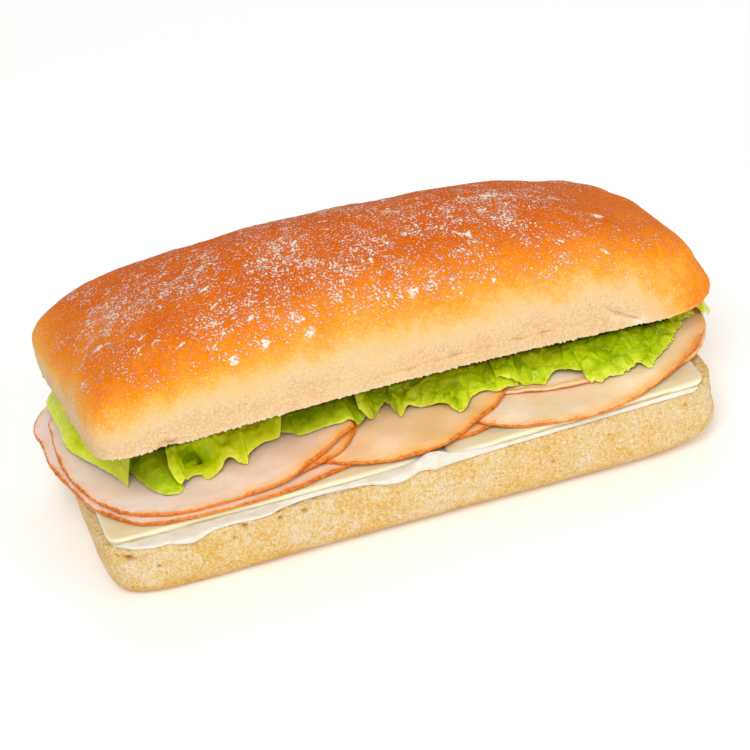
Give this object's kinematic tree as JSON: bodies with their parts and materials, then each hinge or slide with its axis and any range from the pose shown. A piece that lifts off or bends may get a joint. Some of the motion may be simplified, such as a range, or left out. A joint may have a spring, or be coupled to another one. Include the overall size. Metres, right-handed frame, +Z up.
{
  "type": "turkey sandwich",
  "caption": "Sandwich on a long flat roll, open at the front, filled with mayonnaise, cheese slices, overlapping turkey slices and lettuce leaves.",
  "frame": {"origin": "on the flat base, under the middle of the lower half of the roll", "axes": "+X along the roll, +Y towards its closed back, +Z up"},
  "size_m": [0.2147, 0.1016, 0.0834],
  "materials": {
    "pale_crust": "pale floury bread crust with fine pores, matt",
    "golden_crust": "golden baked crust dusted with flour, pale at the sides",
    "mayonnaise": "thick white sauce, glossy",
    "cheese": "pale yellow sliced cheese, waxy",
    "turkey": "moist pale pink meat slice with a browned rim",
    "lettuce": "fresh yellow-green leaf with pale veins, waxy"
  },
  "bodies": {
    "root": {"bread_bottom": "pale_crust", "mayonnaise": "mayonnaise", "cheese_left": "cheese", "cheese_right": "cheese", "turkey_1": "turkey", "turkey_2": "turkey", "turkey_3": "turkey", "turkey_4": "turkey", "turkey_5": "turkey", "turkey_6": "turkey", "turkey_7": "turkey", "turkey_8": "turkey", "lettuce_middle": "lettuce", "lettuce_centre": "lettuce", "lettuce_right": "lettuce", "lettuce_tip": "lettuce", "lettuce_corner": "lettuce", "lettuce_fold": "lettuce", "lettuce_end": "lettuce", "bread_top": "golden_crust"}
  },
  "joints": []
}
